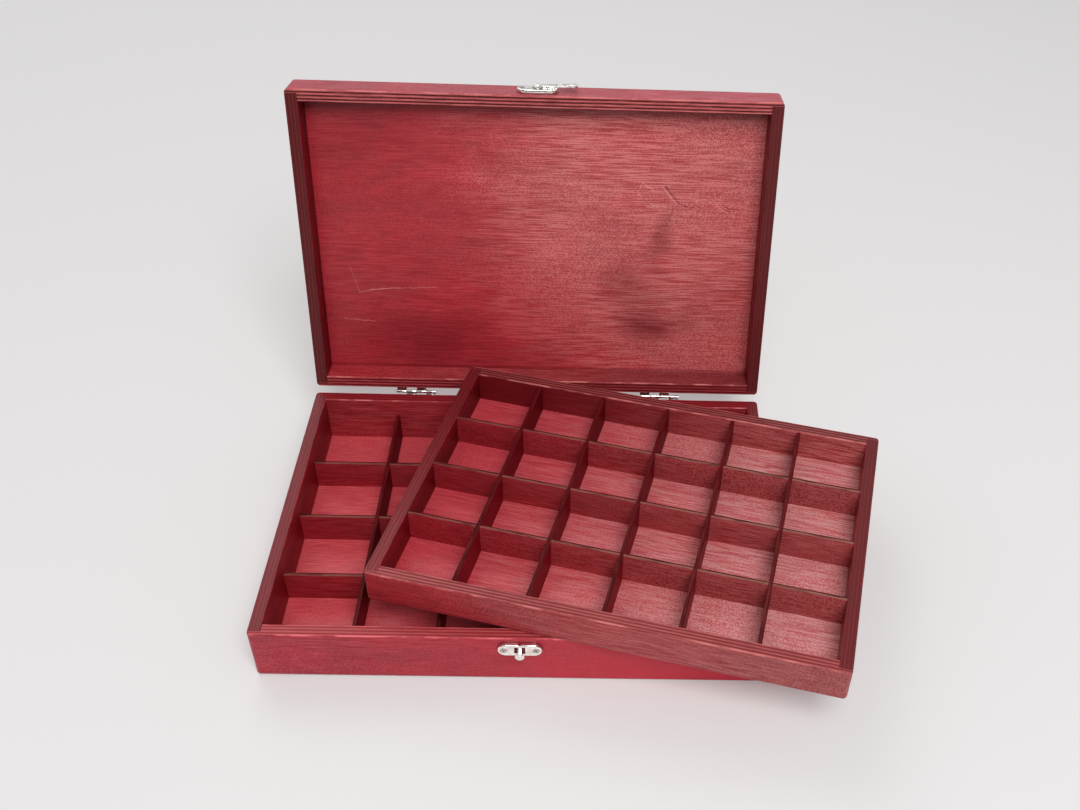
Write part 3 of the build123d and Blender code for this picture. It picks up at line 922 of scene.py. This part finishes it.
# The hinges
# Two small stop hinges of folded steel sheet, nickel-plated, each of two leaves whose knuckles turn on a
# pin. The plate is bright on the round knuckles and duller on the flat leaves, which also carry a painted
# dark reflection, with fine scratches all over.
nickel_bright = (0.90, 0.88, 0.84, 1)
dull_nickel_and_dark_reflection = (0.46, 0.43, 0.40, 1)
# Tarnish for the specks, and the colour of the painted shade in and round the screws
nickel_tarnish_and_shade = (0.13, 0.10, 0.085, 1)
nickel_relief = 0.00002
nickel_relief_strength = 0.35
sheet_arris = 0.00010
metal_smooth = radians(30)
knuckle_radius = 0.0021
leaf_dull_and_dark_reflection = 0.5
leaf_reflection_shares = (1.1, 1.6)   # where a leaf's dulling and painted dark reflection start and are full, by a knuckle's radius
pin_dull = 0.2

smudge_lumps = (260, 260, 260)
speck_lumps = (1500, 1500, 1500)
plate_scratch_lumps = (300, 5000, 5000)
smudge_fade = (0.35, 0.70)
smudge_dull = 0.45
speck_fade = (0.62, 0.72, 0.0, 0.7)
nickel_roughness = (0.0, 1.0, 0.07, 0.26)
plate_scratch_fade = (0.50, 0.70)
plate_scratch_roughness = 0.10
nickel_takes = {"Place": "vector", "Seed": "value", "Dull": "value"}


def make_worn_nickel():
    """Nickel plate: bright, with dull clouds, small dark specks and fine scratches.

    Dull adds to the dull clouds; on the hinges' leaves it also lays on their painted dark reflection.
    """
    tree, taken, given = shader_group("worn_nickel", nickel_takes, finish_gives)
    place = taken["Place"]
    seed = taken["Seed"]
    smudges = clouds(tree, place, seed, smudge_lumps, detail=4.0, distortion=0.8)
    specks = clouds(tree, place, seed, speck_lumps, detail=2.0)
    scratches = clouds(tree, place, seed, plate_scratch_lumps, detail=2.0)
    dull = step(tree, "MULTIPLY_ADD", fade(tree, smudges, *smudge_fade), smudge_dull, taken["Dull"])
    colour = tint(tree, dull, nickel_bright, dull_nickel_and_dark_reflection)
    colour = tint(tree, fade(tree, specks, *speck_fade), colour, nickel_tarnish_and_shade)
    roughness = fade(tree, dull, *nickel_roughness)
    scratched = fade(tree, scratches, *plate_scratch_fade)
    roughness = step(tree, "MULTIPLY_ADD", scratched, plate_scratch_roughness, roughness)
    tree.links.new(colour, given["Colour"])
    tree.links.new(roughness, given["Roughness"])
    tree.links.new(scratches, given["Height"])
    return tree


worn_nickel = make_worn_nickel()


def finish_metal(tree, colour, made):
    """Finishes bare metal."""
    shader = join_finish(tree, colour, made, nickel_relief, nickel_relief_strength)
    shader.inputs["Metallic"].default_value = 1.0


def nickel_finish(name, to_body, seed, dull):
    """A nickel finish for one kind of piece."""
    material, tree, place = new_finish(name, to_body)
    made = use_group(tree, worn_nickel, Place=place, Seed=seed, Dull=dull)
    finish_metal(tree, made["Colour"], made)
    return material


def hinge_finish(name, to_body, seed):
    """Nickel that is bright on the knuckles and gets duller, with a painted dark reflection, away from the
    pin.
    """
    material, tree, place = new_finish(name, to_body)
    unused, y, z = apart(tree, place)
    from_pin_y = step(tree, "SUBTRACT", y, pin_y)
    from_pin_z = step(tree, "SUBTRACT", z, pin_z)
    from_pin = diagonal(tree, from_pin_y, from_pin_z)
    leaf_reflection_ends = [share * knuckle_radius for share in leaf_reflection_shares]
    dull = fade(tree, from_pin, *leaf_reflection_ends, 0.0, leaf_dull_and_dark_reflection)
    made = use_group(tree, worn_nickel, Place=place, Seed=seed, Dull=dull)
    finish_metal(tree, made["Colour"], made)
    return material


def soften_metal(node, body, material, slot, radius):
    """Makes a metal piece from its CAD node, with its sheared edges rounded."""
    mesh = merged_copy(node)
    soften(mesh, radius, lambda edge: True)
    new_piece(mesh, f"{node}_plated", body, material, slot, node, smooth=metal_smooth)


hinge_parts = [
    # the part, its body and its finish
    ("base_leaf", "base", hinge_finish("base_hinge_leaves", at_rest, seed=51.0)),
    ("lid_leaf", "lid", hinge_finish("lid_hinge_leaves", to_closed, seed=52.0)),
    ("pin", "base", nickel_finish("hinge_pins", at_rest, seed=53.0, dull=pin_dull)),
]
for side in ("left", "right"):
    for part, body, material in hinge_parts:
        soften_metal(f"{side}_hinge_{part}", body, material, "nickel_hinges", sheet_arris)

# The latch
# Two pressed plates of nickel-plated steel with rolled-over edges, a tongue bent out of the lower one, and
# a hook of thicker strip that turns on a rivet in the upper one.
latch_arris = 0.00016
rivet_arris = 0.00022
latch_screw_aside = 0.01065
latch_head_radius = 0.0020
latch_folds = (latch_middle_x, latch_screw_aside)
catch_below_rim = 0.0086
latch_above_rim = 0.0088
catch_middle_z = base_rim - catch_below_rim
latch_middle_z = lid_rim + latch_above_rim
ring_width = 0.00045
# How dark the painted shade round each screw's head is
ring_shade = 0.85


def screw_distance(tree, place, folds, middle_z):
    """How far a place is from the nearest screw's axis. Folds are the x middles that the screws lie about."""
    x, unused, z = apart(tree, place)
    for fold in folds:
        x = step(tree, "ABSOLUTE", step(tree, "SUBTRACT", x, fold))
    z = step(tree, "SUBTRACT", z, middle_z)
    return diagonal(tree, x, z)


def plate_finish(name, to_body, seed, dull, middle_z):
    """Nickel, with painted shade in a ring round each screw's head."""
    material, tree, place = new_finish(name, to_body)
    made = use_group(tree, worn_nickel, Place=place, Seed=seed, Dull=dull)
    from_screw = screw_distance(tree, place, latch_folds, middle_z)
    ring = fade(tree, from_screw, latch_head_radius, latch_head_radius + ring_width, ring_shade, 0.0)
    colour = tint(tree, ring, made["Colour"], nickel_tarnish_and_shade)
    finish_metal(tree, colour, made)
    return material


catch_finish = plate_finish("catch_plate", at_rest, seed=54.0, dull=0.0, middle_z=catch_middle_z)
latch_finish = plate_finish("latch_plate", to_closed, seed=55.0, dull=0.05, middle_z=latch_middle_z)
hook_finish = nickel_finish("latch_hook", to_closed, seed=56.0, dull=0.0)
latch_parts = [
    # node, body, finish, slot, and how far its edges are rounded
    ("catch_plate", "base", catch_finish, "nickel_latch", latch_arris),
    ("latch_plate", "lid", latch_finish, "nickel_latch", latch_arris),
    ("latch_hook", "hook", hook_finish, "nickel_latch", latch_arris),
    ("latch_rivet", "lid", latch_finish, "nickel_fasteners", rivet_arris),
]
for part in latch_parts:
    soften_metal(*part)

# The screws
# Twelve countersunk wood screws of nickel-plated steel with a cross recess: four in the hinges' leaves on
# the base, four in those on the lid, and two in each plate of the latch. Each was left at its own turn.
screw_sides = 32
screw_tip_share = 0.25
screw_edge = 0.00012
recess_depths = (0.00013, 0.00022)
# How dark the painted shade in a screw's recess is
recess_shade = 0.9
ring_shares = (0.72, 0.92)      # where the painted shade round a head starts and is full, by the head's radius
screw_dull = 0.15
first_screw_seed = 60.0
leaf_thickness = 0.0006
leaf_screws_off = 0.0086        # how far they are from the pin, downwards on the base and upwards on the lid
leaf_screws_y = box_half_depth + leaf_thickness
plate_rise = 0.0030
plate_screws_y = -box_half_depth - plate_rise
hinge_middles = (-0.0967, 0.0967)
hinge_screw_aside = 0.009
hinge_screw = {
    "Head Diameter": 0.0032,
    "Shank Diameter": 0.0016,
    "Length": 0.0065,
    "Recess Span": 0.0024,
    "Recess Width": 0.0006,
    "Recess Depth": 0.0006,
}
latch_screw = {
    "Head Diameter": 2 * latch_head_radius,
    "Shank Diameter": 0.0019,
    "Length": 0.0082,
    "Recess Span": 0.0031,
    "Recess Width": 0.00065,
    "Recess Depth": 0.0006,
}


def moved(tree, mesh, height):
    """A mesh moved along the screw."""
    way = tree.nodes.new("ShaderNodeCombineXYZ")
    feed(tree, way.inputs["Z"], height)
    node = tree.nodes.new("GeometryNodeTransform")
    tree.links.new(mesh, node.inputs["Geometry"])
    tree.links.new(way.outputs["Vector"], node.inputs["Translation"])
    return node.outputs["Geometry"]


def cone(tree, top_radius, bottom_radius, depth, top):
    """A cone or cylinder whose upper end lies at a height."""
    node = tree.nodes.new("GeometryNodeMeshCone")
    node.inputs["Vertices"].default_value = screw_sides
    feed(tree, node.inputs["Radius Top"], top_radius)
    feed(tree, node.inputs["Radius Bottom"], bottom_radius)
    feed(tree, node.inputs["Depth"], depth)
    return moved(tree, node.outputs["Mesh"], step(tree, "SUBTRACT", top, depth))


def bar(tree, length, width, depth):
    """One arm of the recess's cross, open at the top."""
    size = tree.nodes.new("ShaderNodeCombineXYZ")
    for axis, value in zip("XYZ", (length, width, step(tree, "MULTIPLY", depth, 2.0))):
        feed(tree, size.inputs[axis], value)
    node = tree.nodes.new("GeometryNodeMeshCube")
    tree.links.new(size.outputs["Vector"], node.inputs["Size"])
    return node.outputs["Mesh"]


def combined(tree, operation, first, others):
    """Meshes joined, or cut from the first one."""
    node = tree.nodes.new("GeometryNodeMeshBoolean")
    node.operation = operation
    if operation == "DIFFERENCE":
        tree.links.new(first, node.inputs["Mesh 1"])
    else:
        others = [first, *others]
    for mesh in others:
        tree.links.new(mesh, node.inputs["Mesh 2"])
    return node.outputs["Mesh"]


def screw_shape(tree, given):
    """One countersunk screw, from its sizes: its head's rim and cone, its shank and point, less the cross."""
    head = step(tree, "DIVIDE", given["Head Diameter"], 2.0)
    shank = step(tree, "DIVIDE", given["Shank Diameter"], 2.0)
    head_depth = step(tree, "SUBTRACT", head, shank)
    tip = step(tree, "MULTIPLY", given["Length"], screw_tip_share)
    shank_depth = step(tree, "SUBTRACT", step(tree, "SUBTRACT", given["Length"], head_depth), tip)
    crown = cone(tree, step(tree, "SUBTRACT", head, screw_edge), head, screw_edge, 0.0)
    sink = cone(tree, head, shank, head_depth, -screw_edge)
    shaft = cone(tree, shank, shank, shank_depth, step(tree, "SUBTRACT", -screw_edge, head_depth))
    point_top = step(tree, "SUBTRACT", step(tree, "SUBTRACT", -screw_edge, head_depth), shank_depth)
    point = cone(tree, shank, step(tree, "MULTIPLY", shank, screw_tip_share), tip, point_top)
    body = combined(tree, "UNION", crown, [sink, shaft, point])
    arms = [
        bar(tree, given["Recess Span"], given["Recess Width"], given["Recess Depth"]),
        bar(tree, given["Recess Width"], given["Recess Span"], given["Recess Depth"]),
    ]
    return combined(tree, "DIFFERENCE", body, arms)


def make_screws_tree():
    """Places a countersunk cross-head screw on every vertex. Its top faces Facing, at a turn of its own."""
    tree = bpy.data.node_groups.new("countersunk_screws", "GeometryNodeTree")
    tree.interface.new_socket(name="Geometry", in_out="INPUT", socket_type="NodeSocketGeometry")
    for name in hinge_screw:
        tree.interface.new_socket(name=name, in_out="INPUT", socket_type="NodeSocketFloat")
    tree.interface.new_socket(name="Facing", in_out="INPUT", socket_type="NodeSocketVector")
    tree.interface.new_socket(name="Seed", in_out="INPUT", socket_type="NodeSocketInt")
    tree.interface.new_socket(name="Material", in_out="INPUT", socket_type="NodeSocketMaterial")
    tree.interface.new_socket(name="Geometry", in_out="OUTPUT", socket_type="NodeSocketGeometry")
    given = tree.nodes.new("NodeGroupInput").outputs
    result = tree.nodes.new("NodeGroupOutput")
    screw = screw_shape(tree, given)

    turn = tree.nodes.new("FunctionNodeRandomValue")
    turn.data_type = "FLOAT"
    turn_ends = [socket for socket in turn.inputs if socket.type == "VALUE"]
    turn_ends[0].default_value = 0.0
    turn_ends[1].default_value = pi / 2
    tree.links.new(given["Seed"], turn.inputs["Seed"])
    turned_by = [socket for socket in turn.outputs if socket.type == "VALUE"][0]
    own_turn = tree.nodes.new("ShaderNodeCombineXYZ")
    tree.links.new(turned_by, own_turn.inputs["Z"])
    facing = tree.nodes.new("FunctionNodeAlignRotationToVector")
    facing.axis = "Z"
    tree.links.new(given["Facing"], facing.inputs["Vector"])
    rotation = tree.nodes.new("FunctionNodeRotateRotation")
    rotation.rotation_space = "LOCAL"
    tree.links.new(facing.outputs["Rotation"], rotation.inputs["Rotation"])
    tree.links.new(own_turn.outputs["Vector"], rotation.inputs["Rotate By"])
    placed = tree.nodes.new("GeometryNodeInstanceOnPoints")
    tree.links.new(given["Geometry"], placed.inputs["Points"])
    tree.links.new(screw, placed.inputs["Instance"])
    tree.links.new(rotation.outputs["Rotation"], placed.inputs["Rotation"])
    real = tree.nodes.new("GeometryNodeRealizeInstances")
    tree.links.new(placed.outputs["Instances"], real.inputs["Geometry"])
    dressed = tree.nodes.new("GeometryNodeSetMaterial")
    tree.links.new(real.outputs["Geometry"], dressed.inputs["Geometry"])
    tree.links.new(given["Material"], dressed.inputs["Material"])
    tree.links.new(dressed.outputs["Geometry"], result.inputs["Geometry"])
    return tree


screws_tree = make_screws_tree()


def drive_screws(node, body, seats, facing, sizes, seed, material):
    """Makes the screws of one CAD node: one on each seat, baked to a plain mesh."""
    data = bpy.data.meshes.new(f"{node}_seats")
    data.from_pydata([tuple(seat) for seat in seats], [], [])
    holder = bpy.data.objects.new(f"{node}_seats", data)
    bpy.context.scene.collection.objects.link(holder)
    modifier = holder.modifiers.new("screws", "NODES")
    modifier.node_group = screws_tree
    settings = dict(sizes, Facing=tuple(facing), Seed=seed, Material=material)
    for socket in screws_tree.interface.items_tree:
        if socket.in_out == "INPUT" and socket.name in settings:
            modifier[socket.identifier] = settings[socket.name]
    graph = bpy.context.evaluated_depsgraph_get()
    made = bpy.data.meshes.new_from_object(holder.evaluated_get(graph))
    bpy.data.objects.remove(holder)
    mesh = bmesh.new()
    mesh.from_mesh(made)
    new_piece(mesh, f"{node}_cross_head", body, material, "nickel_fasteners", node, smooth=metal_smooth)


def screw_finish(name, to_body, seed, folds, face_y, face_z, head_radius):
    """Nickel, with painted shade in the recesses and round the heads."""
    material, tree, place = new_finish(name, to_body)
    made = use_group(tree, worn_nickel, Place=place, Seed=seed, Dull=screw_dull)
    from_middle = screw_distance(tree, place, folds, face_z)
    ring_ends = [share * head_radius for share in ring_shares]
    ring = fade(tree, from_middle, *ring_ends, 0.0, ring_shade)
    below = step(tree, "ABSOLUTE", step(tree, "SUBTRACT", apart(tree, place)[1], face_y))
    # Painted shade in the cross recess and round the head
    screw_shade = step(tree, "MAXIMUM", ring, fade(tree, below, *recess_depths, 0.0, recess_shade))
    colour = tint(tree, screw_shade, made["Colour"], nickel_tarnish_and_shade)
    finish_metal(tree, colour, made)
    return material


hinge_screw_places = [x + aside for x in hinge_middles for aside in (-hinge_screw_aside, hinge_screw_aside)]
latch_screw_places = [latch_middle_x - latch_screw_aside, latch_middle_x + latch_screw_aside]
rearwards = Vector((0, 1, 0))
forwards = Vector((0, -1, 0))
hinge_set = (hinge_screw_places, (0, hinge_middles[1], hinge_screw_aside), rearwards, hinge_screw)
latch_set = (latch_screw_places, latch_folds, forwards, latch_screw)
screw_sets = [
    # node, body, y and z of the heads' faces with the lid closed, seed, x places and folds, facing, sizes
    ("hinge_base_screws", "base", leaf_screws_y, pin_z - leaf_screws_off, 3, *hinge_set),
    ("hinge_lid_screws", "lid", leaf_screws_y, pin_z + leaf_screws_off, 5, *hinge_set),
    ("catch_screws", "base", plate_screws_y, catch_middle_z, 8, *latch_set),
    ("latch_screws", "lid", plate_screws_y, latch_middle_z, 12, *latch_set),
]
for node, body, y, z, seed, xs, folds, facing, sizes in screw_sets:
    to_body = to_closed if body == "lid" else at_rest
    back = to_body.inverted()
    seats = [back @ Vector((x, y, z)) for x in xs]
    head_radius = sizes["Head Diameter"] / 2
    material = screw_finish(node, to_body, first_screw_seed + seed, folds, y, z, head_radius)
    drive_screws(node, body, seats, back.to_3x3() @ facing, sizes, seed, material)

# The studio
# A pale floor under the box, a soft lamp above its front and a little to the right, a weaker one above its
# rear and to the left, and pale surroundings, which shiny faces mirror darker where they are low in front.
floor_size = 8.0
floor_drop = 0.0001
floor_colour = (0.750, 0.742, 0.742, 1)
floor_mirrored = (0.93, 0.91, 0.90, 1)   # the floor's colour as shiny faces mirror it
floor_glow_share = 0.18
floor_roughness = 0.9
floor_gloss = 0.1
lamp_side = radians(14)
lamp_rise = radians(56)
lamp_distance = 2.8
lamp_size = 1.4
lamp_power = 58
lamp_target = Vector((0.03, 0.05, 0.05))
back_side = radians(208)
back_rise = radians(48)
back_distance = 3.2
back_size = 2.0
back_power = 24
surround_colour = (1.0, 0.985, 0.98, 1)
surround_light = 0.385
surround_shown = 0.95
mirrored_fade = (0.20, 0.80, 0.12, 1.0)
mirrored_lean = 0.5

half = floor_size / 2
corners = [(x, y, -floor_drop) for x, y in ((-half, -half), (half, -half), (half, half), (-half, half))]
floor_data = bpy.data.meshes.new("floor")
floor_data.from_pydata(corners, [], [(0, 1, 2, 3)])
floor = bpy.data.objects.new("floor", floor_data)
bpy.context.scene.collection.objects.link(floor)
floor_material = bpy.data.materials.new("floor")
floor_material.use_nodes = True
tree = floor_material.node_tree
floor_shader = tree.nodes["Principled BSDF"]
floor_shader.inputs["Roughness"].default_value = floor_roughness
floor_shader.inputs["Specular IOR Level"].default_value = floor_gloss
floor_light = tree.nodes.new("ShaderNodeEmission")
floor_light.inputs["Color"].default_value = floor_colour
floor_rays = tree.nodes.new("ShaderNodeLightPath").outputs
floor_seen = tint(tree, floor_rays["Is Glossy Ray"], floor_colour, floor_mirrored)
tree.links.new(floor_seen, floor_shader.inputs["Base Color"])
floor_mix = tree.nodes.new("ShaderNodeMixShader")
tree.links.new(step(tree, "MULTIPLY", floor_rays["Is Camera Ray"], floor_glow_share), floor_mix.inputs["Fac"])
tree.links.new(floor_shader.outputs["BSDF"], floor_mix.inputs[1])
tree.links.new(floor_light.outputs["Emission"], floor_mix.inputs[2])
tree.links.new(floor_mix.outputs["Shader"], tree.nodes["Material Output"].inputs["Surface"])
floor_data.materials.append(floor_material)

world = bpy.data.worlds.new("studio")
bpy.context.scene.world = world
world.use_nodes = True
tree = world.node_tree
background = tree.nodes["Background"]
background.inputs["Color"].default_value = surround_colour
rays = tree.nodes.new("ShaderNodeLightPath").outputs
shown = step(tree, "MAXIMUM", rays["Is Camera Ray"], rays["Is Transmission Ray"])
strength = step(tree, "MULTIPLY_ADD", shown, surround_shown - surround_light, surround_light)
sight = tree.nodes.new("ShaderNodeTexCoord").outputs["Generated"]
unused, rearward, upward = apart(tree, sight)
rise = step(tree, "MULTIPLY_ADD", rearward, mirrored_lean, upward)
mirrored = fade(tree, rise, *mirrored_fade)
extra = step(tree, "MULTIPLY", rays["Is Glossy Ray"], step(tree, "SUBTRACT", mirrored, strength))
tree.links.new(step(tree, "ADD", strength, extra), background.inputs["Strength"])


def soft_lamp(name, side, rise, distance, size, power):
    """A square soft lamp that faces the box. Its side is measured from straight in front, to the right."""
    lamp = bpy.data.objects.new(name, bpy.data.lights.new(name, "AREA"))
    bpy.context.scene.collection.objects.link(lamp)
    lamp.data.size = size
    lamp.data.energy = power
    way = Vector((sin(side) * cos(rise), -cos(side) * cos(rise), sin(rise)))
    lamp.location = lamp_target + distance * way
    lamp.rotation_euler = way.to_track_quat("Z", "Y").to_euler()


soft_lamp("key", lamp_side, lamp_rise, lamp_distance, lamp_size, lamp_power)
soft_lamp("back", back_side, back_rise, back_distance, back_size, back_power)

bpy.context.scene.view_settings.view_transform = "Standard"
